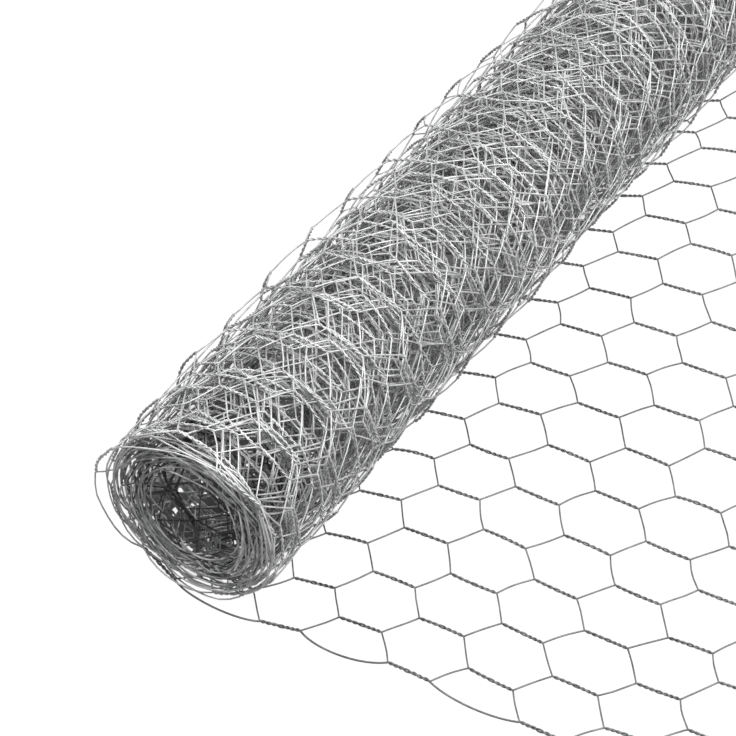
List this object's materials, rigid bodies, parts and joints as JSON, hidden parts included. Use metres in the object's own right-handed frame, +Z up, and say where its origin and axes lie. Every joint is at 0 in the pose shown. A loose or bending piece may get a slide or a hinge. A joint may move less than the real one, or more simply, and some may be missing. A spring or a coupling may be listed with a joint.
{
  "type": "roll of hexagonal wire netting",
  "caption": "Roll of galvanised hexagonal wire netting on its side, with an open bore and its loose end run out flat.",
  "frame": {"origin": "middle of the whole piece's footprint, on the ground", "axes": "+Y along the roll's axis, +X the way the loose end runs out, a few degrees off square, +Z up"},
  "size_m": [0.2638, 0.5138, 0.074],
  "materials": {
    "galvanised_wire": "galvanised wire, satin zinc"
  },
  "bodies": {
    "root": {"rolled_netting": "galvanised_wire", "loose_end": "galvanised_wire"}
  },
  "joints": []
}
